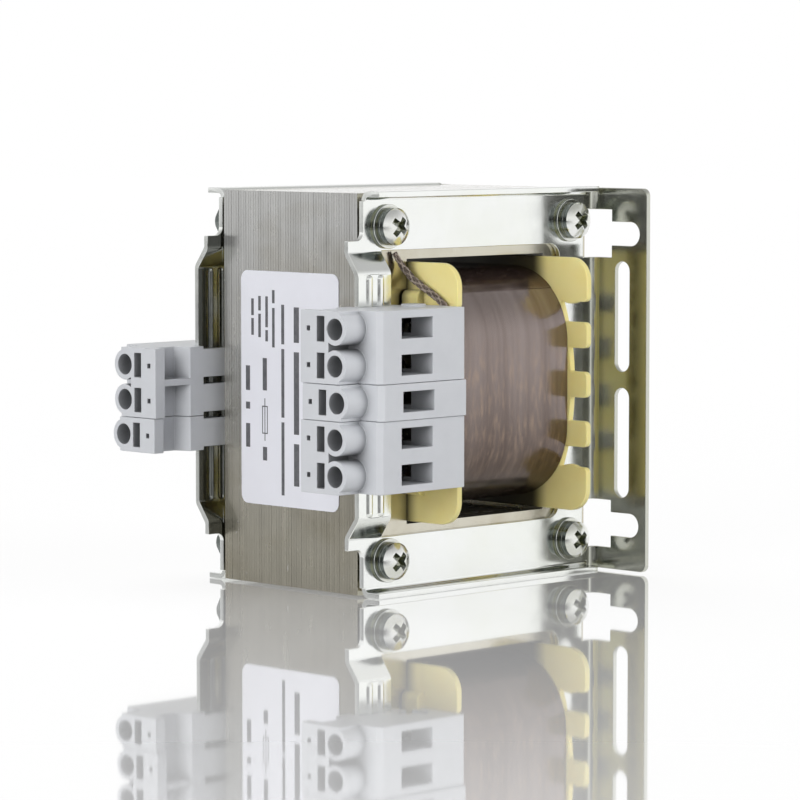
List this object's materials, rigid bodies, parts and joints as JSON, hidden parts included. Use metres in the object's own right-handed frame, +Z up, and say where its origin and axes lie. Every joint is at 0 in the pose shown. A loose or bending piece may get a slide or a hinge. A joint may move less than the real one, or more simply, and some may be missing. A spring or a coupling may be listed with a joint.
{
  "type": "isolation transformer",
  "caption": "Open-frame isolation transformer: laminated core clamped by sheet-metal brackets with slotted feet, toothed bobbin, taped coil and screwless terminal blocks front and rear.",
  "frame": {"origin": "under the middle of the whole part, on the plane of the lower bracket lips", "axes": "+X from the wire entry face to the mounting feet, -Y out of the primary terminal side, +Z up, along the core's height"},
  "size_m": [0.0904, 0.08, 0.0848],
  "materials": {
    "core_steel": "satin",
    "bobbin_plastic": "satin",
    "copper_wire": "satin",
    "insulation_film": "satin",
    "coil_tape": "gloss",
    "zinc_sheet": "satin",
    "zinc_hardware": "satin",
    "terminal_plastic": "satin",
    "contact_brass": "satin",
    "spring_steel": "satin",
    "braided_sleeve": "matte",
    "lead_enamel": "gloss",
    "label_film": "satin"
  },
  "bodies": {
    "root": {"e_laminations": "core_steel", "i_laminations": "core_steel", "bobbin": "bobbin_plastic", "primary_winding": "copper_wire", "winding_insulation": "insulation_film", "secondary_winding": "copper_wire", "coil_wrap": "coil_tape", "front_bracket": "zinc_sheet", "rear_bracket": "zinc_sheet", "clamp_screws": "zinc_hardware", "front_flat_washers": "zinc_hardware", "front_spring_washers": "zinc_hardware", "rear_flat_washers": "zinc_hardware", "rear_spring_washers": "zinc_hardware", "clamp_nuts": "zinc_hardware", "primary_terminal_upper": "terminal_plastic", "primary_terminal_middle": "terminal_plastic", "primary_terminal_lower": "terminal_plastic", "secondary_terminal_upper": "terminal_plastic", "secondary_terminal_lower": "terminal_plastic", "primary_contacts": "contact_brass", "secondary_contacts": "contact_brass", "primary_springs": "spring_steel", "secondary_springs": "spring_steel", "earth_lead": "braided_sleeve", "primary_leads": "lead_enamel", "secondary_leads": "lead_enamel", "rating_label": "label_film"}
  },
  "joints": []
}
